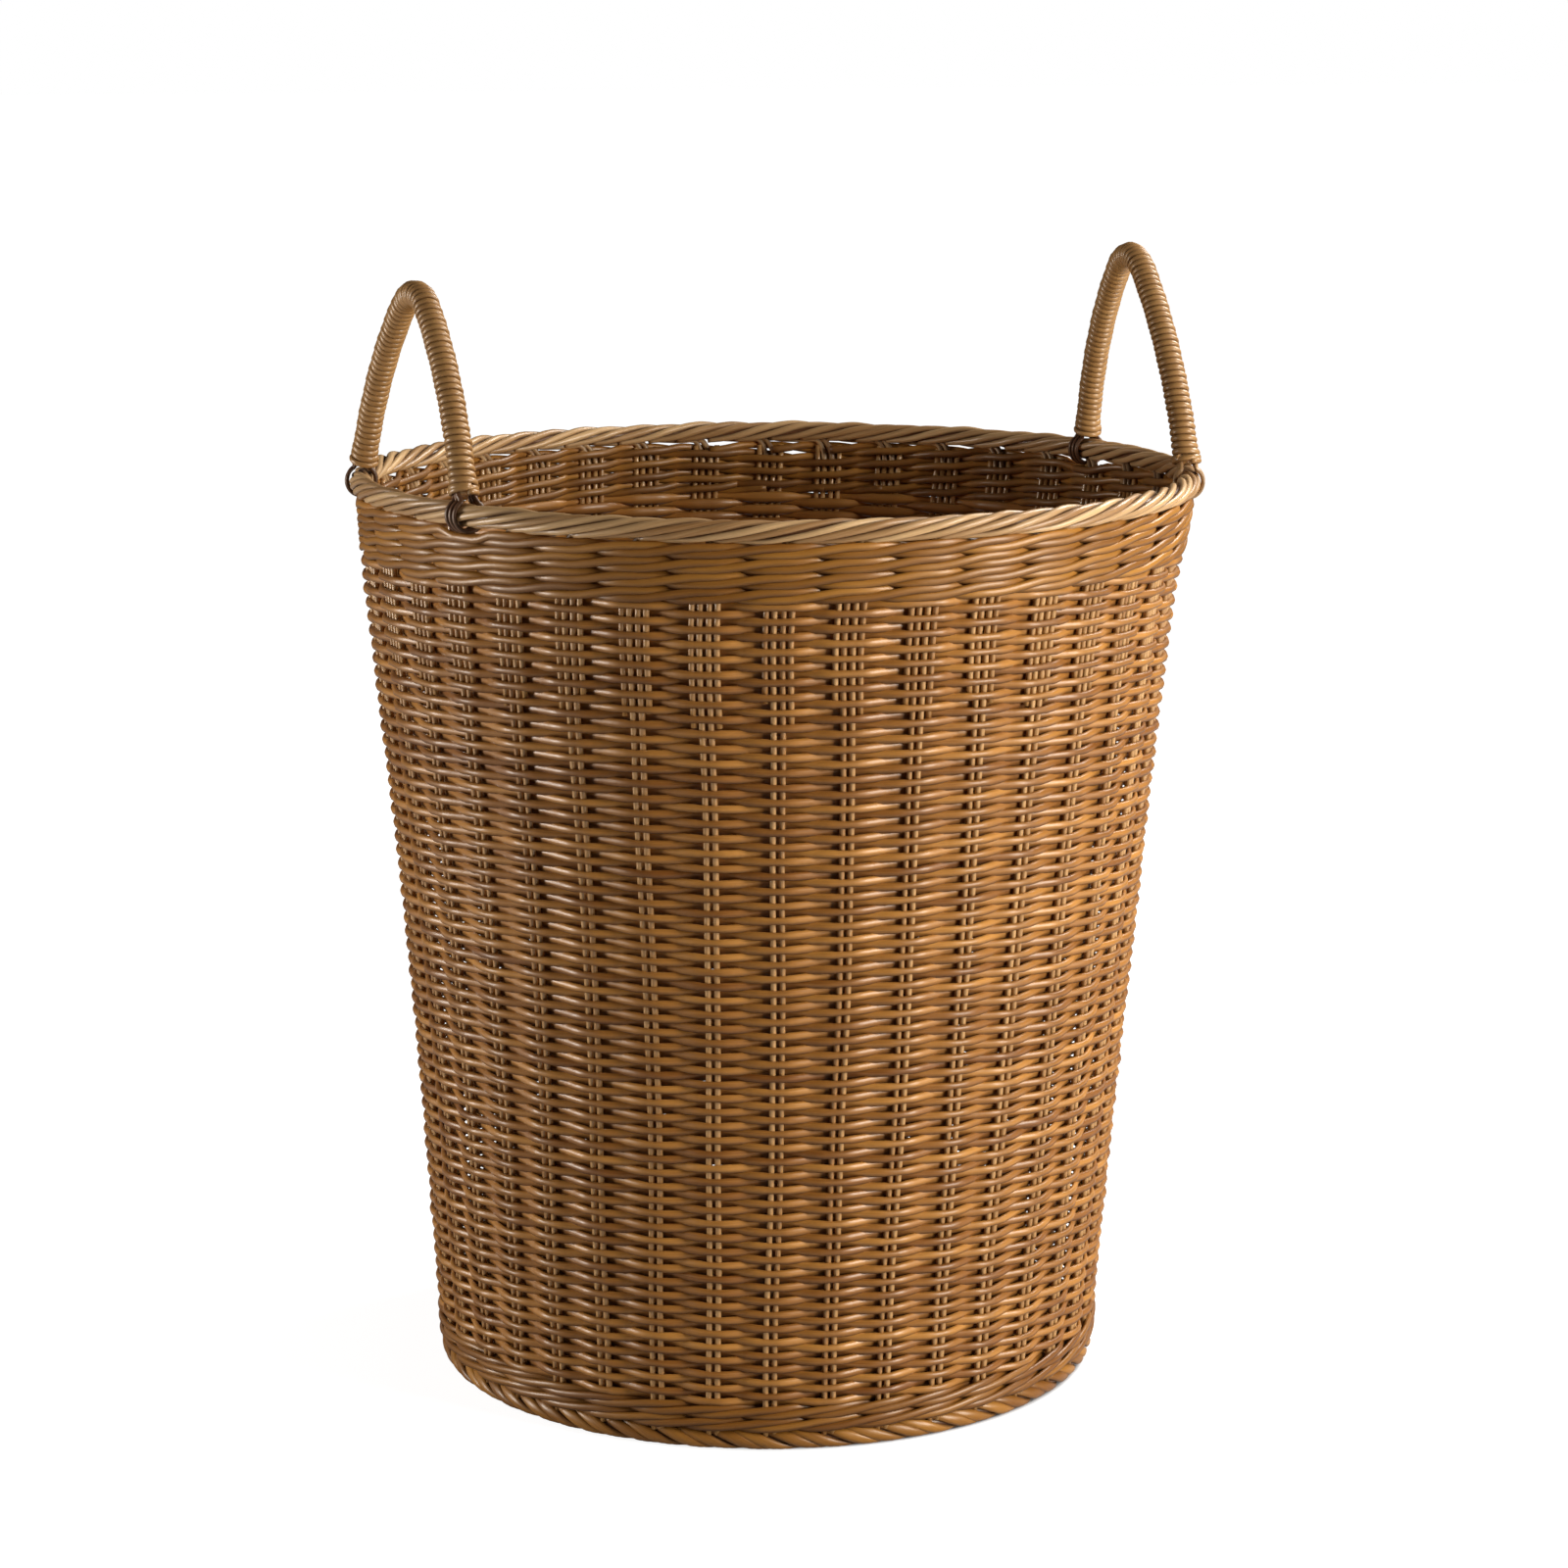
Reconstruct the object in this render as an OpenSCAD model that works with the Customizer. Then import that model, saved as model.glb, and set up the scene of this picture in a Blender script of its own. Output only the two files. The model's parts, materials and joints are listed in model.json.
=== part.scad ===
// Woven cane laundry basket: a flared round body of stakes and woven rows, rope borders
// at rim and foot, and two wound handles that swing on cane rings round the rim.
// The basket stands on z = 0, its front is towards -Y and its handles are at -X and +X.

/* [Body] */
// Height from the floor to the centre of the rim border
rim_z = 479.5; // [300:0.5:600]
// Radius to the centre of the rim border
rim_r = 219; // [180:1:260]
// Radius to the middle of the side stakes at the floor
foot_r = 174.5; // [140:0.5:200]
// How far the side stakes stand inside the centre of the rim border at the top
rim_overhang = 3; // [1:0.5:4]
// How far the flared side hollows in at half its height
side_bow = 3; // [1:0.5:8]
// Number of stake groups round the side
groups = 38; // [34:2:42]

/* [Stakes and weave] */
// Thickness of a stake
stake_d = 3.5; // [2.5:0.1:4]
// Clearance between one cane and the next
cane_gap = 0.15; // [0.1:0.05:0.3]
// Thickness of a weaving cane, measured across the wall
weaver_t = 3.4; // [2.5:0.1:4]
// Number of rows in the plain weave, each a pair of canes worked together
plain_rows = 56; // [32:8:64]
// Height of one row of wale
wale_row_h = 3.73; // [3:0.01:4.5]
// Number of rows of wale at the foot
foot_wale_rows = 3; // [2:1:5]
// Number of rows of wale under the rim
top_wale_rows = 7; // [4:1:10]
// How far the bye-stakes reach below the top wale
bye_reach = 52; // [20:1:100]

/* [Rope borders] */
// Diameter of a rope border
border_d = 12.6; // [11:0.1:14]
// Strands that lie side by side in a border's section
border_strands = 9; // [8:1:10]
// Strands laid into a border for each stake group
strands_per_group = 2; // [1:1:3]
// Clearance between one border strand and the next
strand_gap = 0.45; // [0.4:0.05:0.7]
// How far the foot border is flattened where it stands
foot_flat = 0.3; // [0.2:0.1:1]

/* [Base] */
// Height of the middle of the base sticks above the floor
base_z = 15.5; // [14.5:0.5:17]
// Thickness of a base stick
base_stick_d = 4.4; // [3:0.1:5]
// Base sticks that cross in each direction
sticks_each_way = 7; // [5:1:7]
// Thickness of the base weaving cane
base_cane_d = 3.4; // [2.5:0.1:3.8]

/* [Handles] */
// Height of the left handle's crown above the centre of the rim border
left_handle_h = 103; // [95:1:130]
// Height of the right handle's crown above the centre of the rim border
right_handle_h = 114; // [95:1:130]
// Stake groups from the middle of a handle to each of its feet
handle_half_groups = 2.25; // [1.25:0.5:2.25]
// Stake groups by which each handle sits forward of the basket's side
handle_forward_groups = 0.5; // [0.5:1:1.5]
// How far the handles lean in over the mouth, in degrees
handle_lean = 2.5; // [0:0.5:5]
// Bend radius in the middle of a handle's crown
crown_r = 27; // [22:1:32]
// Bend radius along a handle's legs
leg_r = 200; // [160:10:300]
// Thickness of a handle's core
handle_core_d = 8.4; // [6:0.1:10]
// Thickness of the cane wound round a handle
winding_d = 3.5; // [2.5:0.1:4]
// Thickness of the cane rings that a handle swings on
ring_d = 2.8; // [2:0.1:3.2]
// Rings side by side at each foot of a handle
rings_per_foot = 3; // [1:1:3]
// Running clearance between a ring and the rim border
ring_clear = 0.25; // [0.2:0.05:0.5]
// Thickness of the binding at each foot of a handle
binding_d = 2.6; // [2:0.1:3]

/* [Hidden] */

cane = "#b07a3c";
dark_cane = "#6a4322";
pale_cane = "#c4965a";
round_fn = 24;          // facets round a cane in previews
hoop_fn = 180;          // facets round a whole hoop in previews
bands = 8;              // nodes that the plain weave is split into

step = 360 / groups;                       // angle from one stake group to the next
back = 90;                                 // angle of the first stake group, where each wale row steps up
wall_top_r = rim_r - rim_overhang;         // radius to the middle of the stakes at the rim

// Radius to the middle of the side stakes at height z
function wall_r(z) = let (t = z / rim_z) foot_r + (wall_top_r - foot_r) * t - 4 * side_bow * t * (1 - t);

// Offset of each cane of a group from the middle of the group
pair_at = (stake_d + cane_gap) / 2;
bye_at = 3 * pair_at;

// How far a row swings out and in to clear a group whose outer canes stand off-centre by reach,
// and lean out over half the row's height by lean
function wave(r, reach, lean = 0) =
    let (pitch = r * sin(step), dip = r * (1 - cos(step)), clear = stake_d / 2 + cane_gap,
        slope = (2.8 * (clear + weaver_t / 2) + dip) / pitch)
    (weaver_t / 2 + lean + clear * sqrt(1 + slope * slope) + dip * reach / pitch) / (1 - 2 * reach / pitch);

// Rope borders
strand_turn = sin(180 / border_strands);
strand_d = (border_d * strand_turn - strand_gap) / (1 + strand_turn);
lay_r = (border_d - strand_d) / 2;         // from the border's centre to a strand's centre
lay_groups = border_strands / strands_per_group;
lay_parts = 6;                             // straight parts in one turn of a strand
strand_turn_a = 354;                       // just under one turn, so a strand ends short of the next
hoop_d = 2 * (lay_r * cos(180 / lay_parts) - strand_d / 2 - 2 * cane_gap);
foot_border_r = foot_r - rim_overhang / 2;
foot_border_z = border_d / 2 - foot_flat;
foot_border_top = foot_border_z + border_d / 2;

// Handle feet: the rings that turn round the rim border
skew = handle_half_groups * step;          // angle between a ring's axis and the rim border it holds
handle_turn = handle_forward_groups * step;
pivot_x = rim_r * cos(skew);
foot_y = rim_r * sin(skew);
ring_pitch = ring_d + cane_gap;
ring_spread = (rings_per_foot - 1) / 2 * ring_pitch;
ring_bore_r = border_d / 2 / cos(skew) + ring_spread * tan(skew) + ring_clear;
ring_r = ring_bore_r + ring_d / 2;
ring_outer_r = ring_bore_r + ring_d;

// Heights of the woven bands
wale_top_z = rim_z - ring_outer_r - ring_clear - cane_gap;
wale_foot_z = wale_top_z - top_wale_rows * wale_row_h;
foot_wale_z = foot_border_top + cane_gap;
weave_foot_z = foot_wale_z + foot_wale_rows * wale_row_h;
row_h = (wale_foot_z - weave_foot_z) / plain_rows;
bye_foot_z = wale_foot_z - bye_reach;
stake_top_z = rim_z - cane_gap - sqrt(pow(border_d / 2, 2) - pow(max(0, rim_overhang - stake_d / 2), 2));

// Base
rays = 4 * sticks_each_way;                // stick ends round the base
stick_pitch = base_stick_d + cane_gap;
cross_r = (sticks_each_way / 2 + 0.8) * stick_pitch;
fan_r = max(cross_r * 1.5, rays * stick_pitch * 1.3 / (2 * PI));
base_r = wall_r(foot_wale_z) - wave(foot_r, pair_at) - weaver_t / 2 - 2 * cane_gap;
layer_z = (base_stick_d + base_cane_d) / 2 + cane_gap;
base_cane_sides = 8;
base_cane_pitch = base_cane_d * cos(180 / base_cane_sides) - 0.05;
lower_layer_r = foot_border_r - sqrt(pow((border_d + base_cane_d) / 2 + cane_gap, 2)
    - pow(base_z - layer_z - foot_border_z, 2));

coil_r = (handle_core_d + winding_d) / 2 + 0.02;

// Handle curve for a crown at height h, in a plane with its middle between the two pivots: each leg
// is one arc from the pivot that runs on, without a corner, into the arc of the crown. It gives the
// centres of the crown's and a leg's arc, the angles along the leg where the arcs join and where the
// core, the binding and the winding begin, and the turns of winding on a leg and on the crown.
function handle_curve(h) = let (
        crown_c = [0, h - crown_r],
        span = norm([foot_y, 0] - crown_c),
        along = (leg_r * leg_r - pow(leg_r - crown_r, 2) + span * span) / (2 * span),
        across = sqrt(leg_r * leg_r - along * along),
        toward = (crown_c - [foot_y, 0]) / span,
        leg_c = [foot_y, 0] + along * toward + across * [-toward[1], toward[0]],
        join_a = atan2(crown_c[1] - leg_c[1], crown_c[0] - leg_c[0]),
        pivot_a = asin(-leg_c[1] / leg_r),
        core_foot = (ring_r + (ring_d / 2 + 2 * cane_gap) / cos(pivot_a + 3) + ring_spread * abs(tan(pivot_a + 3)))
            / (1 + tan(pivot_a + 1.5) * tan(pivot_a + 3)),
        core_a = asin((core_foot - leg_c[1]) / leg_r),
        binding_a = core_a + asin((binding_d / 2 + cane_gap) / leg_r),
        winding_a = binding_a + asin((binding_d / 2 + cane_gap) / leg_r),
        leg_turns = floor((join_a - winding_a) * PI / 180 * (leg_r - coil_r) / (winding_d + 0.05)),
        crown_turns = floor((180 - 2 * join_a) * PI / 180 * (crown_r - coil_r) / (winding_d + 0.05)))
    [crown_c, leg_c, join_a, core_a, binding_a, winding_a, leg_turns, crown_turns];
left_curve = handle_curve(left_handle_h);
right_curve = handle_curve(right_handle_h);

// One woven row: a closed strip that passes outside a group where out(group) is 1, inside where it is -1
function row_line(r, swing, signs) =
    [for (g = [0 : groups - 1]) let (a = back + g * step) (r + swing * signs[g]) * [cos(a), sin(a)]];

module row(z, h, reach, signs) {
    r = wall_r(z + h / 2);
    swing = wave(r, reach, (wall_r(z + h) - wall_r(z)) / 2);
    translate([0, 0, z]) linear_extrude(h - cane_gap) difference() {
        polygon(row_line(r + weaver_t / 2, swing, signs));
        polygon(row_line(r - weaver_t / 2, swing, signs));
    }
}

// Plain weave: out over one group and in behind the next, with each row opposite to the last
module side_weave(band) {
    band_rows = plain_rows / bands;
    color(cane) for (k = [(band - 1) * band_rows : band * band_rows - 1]) {
        z = weave_foot_z + k * row_h;
        signs = [for (g = [0 : groups - 1]) (g + k) % 2 == 0 ? 1 : -1];
        row(z, row_h, z + row_h > bye_foot_z - cane_gap ? bye_at : pair_at, signs);
    }
}

// Wale: out over two groups and in behind one, each row one group further round
module wale(z0, rows, reach) {
    for (k = [0 : rows - 1])
        row(z0 + k * wale_row_h, wale_row_h, reach, [for (g = [0 : groups - 1]) (g + 3 * rows - k) % 3 == 0 ? -1 : 1]);
}

module foot_wale() { color(cane) wale(foot_wale_z, foot_wale_rows, pair_at); }
module top_wale() { color(cane) wale(wale_foot_z, top_wale_rows, bye_at); }

// A round cane from height z0 to z1 that follows the hollow of the side
module wall_cane(z0, z1) {
    p0 = [wall_r(z0), z0];
    p1 = [wall_r(z1), z1];
    chord = p1 - p0;
    len = norm(chord);
    bow = side_bow * pow(len / rim_z, 2);
    bend_r = len * len / (8 * bow) + bow / 2;
    half_a = asin(len / 2 / bend_r);
    mid = (p0 + p1) / 2;
    lean = atan2(chord[1], chord[0]);
    centre = mid + (bend_r - bow) * [sin(lean), -cos(lean)];
    rotate([90, 0, 0]) translate(centre) rotate([0, 0, lean + 90 - half_a])
        rotate_extrude(angle = 2 * half_a, $fn = 1440) translate([bend_r, 0]) circle(d = stake_d, $fn = round_fn);
}

module at_each_group(offsets) {
    for (g = [0 : groups - 1], y = offsets) rotate([0, 0, back + g * step]) translate([0, y, 0]) children();
}

module side_stakes() {
    color(cane) at_each_group([-pair_at, pair_at]) wall_cane(foot_border_top + cane_gap, stake_top_z);
}
module bye_stakes() {
    color(cane) at_each_group([-bye_at, bye_at]) wall_cane(bye_foot_z, wale_top_z);
}

// Faces of a closed tube of n_rings rings with n_sides points each; where the rings turn as they
// go, right_hand says which way, so that each part bulges between its rings and isn't pinched
function tube_faces(n_rings, n_sides, right_hand = false) = concat(
    [[for (j = [n_sides - 1 : -1 : 0]) j]],
    [for (k = [0 : n_rings - 2], j = [0 : n_sides - 1])
        let (a = k * n_sides + j, b = k * n_sides + (j + 1) % n_sides, c = a + n_sides, d = b + n_sides)
        each right_hand ? [[a, b, c], [b, d, c]] : [[a, b, d], [a, d, c]]],
    [[for (j = [0 : n_sides - 1]) (n_rings - 1) * n_sides + j]]);

// A strand that winds once round the border's hoop; hand is 1 where it climbs to the right outside
module border_strand(r0, z0, hand) {
    points = [for (k = [0 : lay_parts], j = [0 : 3])
        let (around = hand * (strand_turn_a * k / lay_parts - 90), side = around + 90 * j,
             along_a = step * lay_groups * strand_turn_a / 360 * k / lay_parts,
             r = r0 + lay_r * cos(around) + strand_d / 2 * cos(side),
             z = z0 + lay_r * sin(around) + strand_d / 2 * sin(side))
        [r * cos(along_a), r * sin(along_a), z]];
    polyhedron(points, tube_faces(lay_parts + 1, 4, hand > 0), convexity = 4);
}

module rope_border(r0, z0, hand) {
    for (i = [0 : groups * strands_per_group - 1])
        rotate([0, 0, back + i * step / strands_per_group]) border_strand(r0, z0, hand);
}

module hoop(r, z, d) { translate([0, 0, z]) rotate_extrude($fn = hoop_fn) translate([r, 0]) circle(d = d, $fn = round_fn); }

module rim_border() { color(pale_cane) rope_border(rim_r, rim_z, 1); }
module rim_hoop() { color(cane) hoop(rim_r, rim_z, hoop_d); }
// The foot border stands on its flattened underside
module foot_border() {
    color(cane) difference() {
        rope_border(foot_border_r, foot_border_z, -1);
        translate([0, 0, -border_d]) cylinder(r = foot_border_r + border_d, h = border_d);
    }
}
module foot_hoop() { color(cane) hoop(foot_border_r, foot_border_z, hoop_d); }

// Base sticks: parallel where they cross in the middle, then fanned out to the edge
module base_sticks(side) {
    sides = 6;
    for (i = [0 : sticks_each_way - 1]) {
        n = i - (sticks_each_way - 1) / 2;
        ray = n * 360 / rays;
        outer = [[cross_r, n * stick_pitch, side * stick_pitch / 2],
            [fan_r * cos(ray), fan_r * sin(ray), 0],
            [base_r * cos(ray), base_r * sin(ray), 0]];
        path = concat([for (k = [2 : -1 : 0]) [-outer[k][0], outer[k][1], outer[k][2]]], outer);
        points = [for (p = path, j = [0 : sides - 1]) let (a = 360 * j / sides)
            [p[0], p[1] + base_stick_d / 2 * cos(a), base_z + p[2] + base_stick_d / 2 * sin(a)]];
        polyhedron(points, tube_faces(len(path), sides), convexity = 4);
    }
}

module base_sticks_lower() { color(cane) base_sticks(-1); }
module base_sticks_upper() { color(cane) rotate([0, 0, 90]) base_sticks(1); }

// One layer of the base weave: rounds of cane pressed together
module base_layer(z, outer_r) {
    rounds = floor((outer_r - fan_r) / base_cane_pitch);
    section = [for (j = [0 : base_cane_sides - 1]) let (a = 360 * (j + 0.5) / base_cane_sides)
        base_cane_d / 2 * [cos(a), sin(a)]];
    translate([0, 0, z]) rotate_extrude($fn = hoop_fn)
        for (k = [0 : rounds]) translate([outer_r - k * base_cane_pitch, 0]) polygon(section);
}

module base_weave_lower() { color(cane) base_layer(base_z - layer_z, lower_layer_r); }
module base_weave_upper() { color(cane) base_layer(base_z + layer_z, base_r - base_cane_d / 2); }

// Handles, drawn flat with the pivots on the x axis.
// A ring of cane threaded on the curve of radius r round centre, at angle a
module turn_on(centre, r, a, ring_radius, d) {
    translate(centre + r * [cos(a), sin(a)]) rotate([0, 0, a + 90]) rotate([0, 90, 0])
        rotate_extrude($fn = 48) translate([ring_radius, 0]) circle(d = d, $fn = 16);
}

// Places along a handle from its back foot to its front foot: [point, angle of the bend there]
function handle_line(curve) = let (parts = 8,
        crown_c = curve[0], leg_c = curve[1], join_a = curve[2], core_a = curve[3],
        leg = [for (k = [0 : parts - 1]) let (a = core_a + (join_a - core_a) * k / parts)
            [leg_c + leg_r * [cos(a), sin(a)], a]],
        crown = [for (k = [0 : parts]) let (a = join_a + (180 - 2 * join_a) * k / parts)
            [crown_c + crown_r * [cos(a), sin(a)], a]])
    concat(leg, crown, [for (k = [parts - 1 : -1 : 0]) [[-leg[k][0][0], leg[k][0][1]], 180 - leg[k][1]]]);

module handle_core(curve) {
    sides = 12;
    line = handle_line(curve);
    points = [for (place = line, j = [0 : sides - 1]) let (a = 360 * j / sides, bend = place[1])
        concat(place[0] + handle_core_d / 2 * cos(a) * [cos(bend), sin(bend)], handle_core_d / 2 * sin(a))];
    polyhedron(points, tube_faces(len(line), sides), convexity = 4);
}

module handle_winding(curve) {
    join_a = curve[2];
    winding_a = curve[5];
    leg_turns = curve[6];
    crown_turns = curve[7];
    leg_step = (join_a - winding_a) / leg_turns;
    crown_step = (180 - 2 * join_a) / crown_turns;
    for (m = [0, 1]) mirror([m, 0, 0]) for (k = [0 : leg_turns - 1])
        turn_on(curve[1], leg_r, winding_a + (k + 0.5) * leg_step, coil_r, winding_d);
    for (k = [0 : crown_turns - 1])
        turn_on(curve[0], crown_r, join_a + (k + 0.5) * crown_step, coil_r, winding_d);
}

module foot_rings() {
    for (k = [0 : rings_per_foot - 1]) translate([foot_y - ring_spread + k * ring_pitch, 0]) rotate([0, 90, 0])
        rotate_extrude($fn = 72) translate([ring_r, 0]) circle(d = ring_d, $fn = 16);
}

module foot_binding(curve) {
    turn_on(curve[1], leg_r, curve[4], (handle_core_d + binding_d) / 2 + 0.02, binding_d);
}

// Stands a handle on its pivots: side is -1 at -X and 1 at +X
module at_handle(side) {
    rotate([0, 0, -side * handle_turn]) translate([side * pivot_x, 0, rim_z])
        rotate([0, -side * handle_lean, 0]) rotate([90, 0, 90]) children();
}
module front() { mirror([1, 0, 0]) children(); }

module left_handle_core() { color(cane) at_handle(-1) handle_core(left_curve); }
module left_handle_winding() { color(pale_cane) at_handle(-1) handle_winding(left_curve); }
module left_front_rings() { color(dark_cane) at_handle(-1) front() foot_rings(); }
module left_back_rings() { color(dark_cane) at_handle(-1) foot_rings(); }
module left_front_binding() { color(dark_cane) at_handle(-1) front() foot_binding(left_curve); }
module left_back_binding() { color(dark_cane) at_handle(-1) foot_binding(left_curve); }
module right_handle_core() { color(cane) at_handle(1) handle_core(right_curve); }
module right_handle_winding() { color(pale_cane) at_handle(1) handle_winding(right_curve); }
module right_front_rings() { color(dark_cane) at_handle(1) front() foot_rings(); }
module right_back_rings() { color(dark_cane) at_handle(1) foot_rings(); }
module right_front_binding() { color(dark_cane) at_handle(1) front() foot_binding(right_curve); }
module right_back_binding() { color(dark_cane) at_handle(1) foot_binding(right_curve); }

foot_border();
foot_hoop();
base_sticks_lower();
base_sticks_upper();
base_weave_lower();
base_weave_upper();
foot_wale();
side_stakes();
bye_stakes();
side_weave(1);  // side_weave_1
side_weave(2);  // side_weave_2
side_weave(3);  // side_weave_3
side_weave(4);  // side_weave_4
side_weave(5);  // side_weave_5
side_weave(6);  // side_weave_6
side_weave(7);  // side_weave_7
side_weave(8);  // side_weave_8
top_wale();
rim_hoop();
rim_border();
left_handle_core();
left_handle_winding();
left_front_rings();
left_back_rings();
left_front_binding();
left_back_binding();
right_handle_core();
right_handle_winding();
right_front_rings();
right_back_rings();
right_front_binding();
right_back_binding();
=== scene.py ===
"""Looks of the woven cane laundry basket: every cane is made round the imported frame."""

import json
import math

import bpy
import numpy as np
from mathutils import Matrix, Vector


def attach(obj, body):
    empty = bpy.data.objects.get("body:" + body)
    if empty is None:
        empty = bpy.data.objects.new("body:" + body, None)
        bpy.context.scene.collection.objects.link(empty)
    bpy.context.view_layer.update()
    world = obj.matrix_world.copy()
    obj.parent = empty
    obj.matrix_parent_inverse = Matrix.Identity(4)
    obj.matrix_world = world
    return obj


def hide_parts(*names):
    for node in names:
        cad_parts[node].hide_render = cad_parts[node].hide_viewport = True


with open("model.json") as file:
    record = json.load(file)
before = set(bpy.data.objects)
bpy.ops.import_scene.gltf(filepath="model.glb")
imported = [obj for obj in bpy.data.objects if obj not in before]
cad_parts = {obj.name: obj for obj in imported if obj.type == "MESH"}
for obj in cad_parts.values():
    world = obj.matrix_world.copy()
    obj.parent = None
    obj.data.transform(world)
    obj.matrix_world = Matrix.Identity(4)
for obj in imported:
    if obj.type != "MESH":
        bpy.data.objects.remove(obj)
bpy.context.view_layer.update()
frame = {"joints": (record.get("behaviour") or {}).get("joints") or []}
rng = np.random.default_rng(3807)
TURN = 2 * math.pi
UP = np.array([0, 0, 1.0])

# ---------------------------------------------------------------- sizes, in metres
HINGES = {joint["child"]: joint["pos_m"] for joint in frame["joints"]}
RIM_Z = HINGES["left_handle"][2]       # the handles swing about the middle of the rim border
RIM_R = 0.219
FOOT_R, TOP_R = 0.1755, 0.2182         # middle of the side at the floor and at the rim
SIDE_BOW = 0.003                       # how far the side curves in between them
GROUPS = 38                            # stake groups round the side
STEP = TURN / GROUPS
BACK = math.pi / 2                     # angle of the first group
LEANS = ((0.0026, 0.475, 0.06), (0.0022, 0.26, 0.26))    # size, height it starts at, fall it takes
LEAN_WAY = (-0.94, 0.34)               # the way that the side leans, out of true, towards its foot

STAKE_R = 0.00160
PAIR_AT, BYE_AT = 0.00225, 0.00625     # canes of a group, from its middle
PAIR_HALF = 0.0022                     # half the width of a pair, where weaving canes pass it
STAKE_FOOT, STAKE_END = 0.0085, 0.462  # ends of the side stakes, which go on as the rim's strands
BYE_FOOT, BYE_END = 0.390, 0.4722
BYE_UNEVEN = (-0.009, 0.006)           # how far down and up a bye-stake's lower end may lie

FOOT_WALE_Z, FOOT_WALE_ROUNDS, FOOT_WALE_H, FOOT_WALE_HALF = 0.0114, 2, 0.0068, 0.00188
WEAVE_Z, ROWS, WEAVE_HALF = 0.0250, 112, 0.00192
TOP_WALE_Z, TOP_WALE_ROUNDS, TOP_WALE_H, TOP_WALE_HALF = 0.4440, 4, 0.0074, 0.00200
ROW_H = (TOP_WALE_Z - WEAVE_Z) / ROWS
BANDS = 8                              # pieces that the plain weave is made in
END_GAP = 0.03                         # how far a cane's ends stop short of a group, in groups

FOOT_BORDER_R, FOOT_BORDER_Z = 0.1738, 0.0060
FOOT_FLAT = 0.0020                     # the foot border is worn flat from here down
RIM_CORE_R, FOOT_CORE_R = 0.0032, 0.0036

BASE_Z, BASE_R = 0.0155, 0.1675
BASE_STICK_R, BASE_CANE_HALF, BASE_PITCH = 0.0022, 0.00172, 0.00335
RAYS, STICKS = 28, 7                   # stick ends round the base, and sticks each way
STICK_PITCH = 2 * BASE_STICK_R + 0.00015
CROSS_R = 4.3 * STICK_PITCH            # the sticks lie side by side up to here
FAN_R = 1.5 * CROSS_R                  # and are spread like rays from here

SKEW = 2.25 * STEP                     # from a handle's middle to each foot
PIVOT_X, FOOT_Y = RIM_R * math.cos(SKEW), RIM_R * math.sin(SKEW)
HANDLE_TURN = 0.5 * STEP               # how far forward of the side each handle stands
HANDLE_LEAN = math.radians(2.5)        # how far it leans in over the mouth
HANDLE_H = {-1: 0.103, 1: 0.114}       # left and right
CROWN_R, LEG_R = 0.027, 0.200
LEG_END_UP = 0.0093                    # the core's ends, above the hinge
CORE_R, WINDING_R = 0.0046, 0.00565    # the core, and the middle of the cane wound round it
WINDING_END, WINDING_PITCH = 0.0032, 0.00345
LOOP_R, LOOP_PITCH = 0.0080, 0.0026
LOOP_ROOM_Z = 0.4682                   # the wale is pressed down to here under a handle's loops
LOOP_ANGLES = [-HANDLE_TURN - SKEW, -HANDLE_TURN + SKEW,
               math.pi + HANDLE_TURN - SKEW, math.pi + HANDLE_TURN + SKEW]


# ---------------------------------------------------------------- cane meshes
def unit(v):
    return v / np.maximum(np.linalg.norm(v, axis=-1, keepdims=True), 1e-12)


def smooth(x):
    x = np.clip(x, 0, 1)
    return x * x * (3 - 2 * x)


def spin(radius, angle, z):
    """Points at a radius, angle and height round the basket's middle."""
    radius, angle, z = np.broadcast_arrays(radius, angle, z)
    return np.stack([radius * np.cos(angle), radius * np.sin(angle), z], -1)


def around_wall(line):
    """Straight out from the basket's middle at each point."""
    flat = line.copy()
    flat[..., 2] = 0
    return unit(flat)


def bent(points, samples):
    """A smooth line of this many samples through control points, for a stack of lines."""
    before = 2 * points[:, :1] - points[:, 1:2]
    after = 2 * points[:, -1:] - points[:, -2:-1]
    p = np.concatenate([before, points, after], 1)
    n = points.shape[1] - 1
    u = np.linspace(0, n, samples)
    i = np.minimum(u.astype(int), n - 1)
    t = (u - i)[None, :, None]
    a, b, c, d = p[:, i], p[:, i + 1], p[:, i + 2], p[:, i + 3]
    bow, twist = 2 * a - 5 * b + 4 * c - d, 3 * b - a - 3 * c + d
    return 0.5 * (2 * b + (c - a) * t + bow * t * t + twist * t ** 3)


def depth(shaded_side, c, s):
    """Painted shade on each point round a cane, from 0 to 1: on its lower side, its top and bottom
    edges, or its back against a core, where c is its cosine from the cane's outer side and s its sine."""
    if shaded_side == "below":
        return smooth((s + 0.15) / 1.1)
    if shaded_side == "sides":
        return np.abs(s) ** 5
    if shaded_side == "back":
        return smooth((0.70 - c) / 1.1)
    return 0 * s


STRIP_START, STRIP_RUN = 0.006, 0.988          # a cane's length on its strip of the texture map
STRIP_EDGE, STRIP_GIRTH = 0.04, 0.92           # its girth, in strips
CAP_PLACES, CAP_LONG, CAP_WIDE = (0.002, 0.998), 0.0015, 0.3     # its two ends


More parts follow.
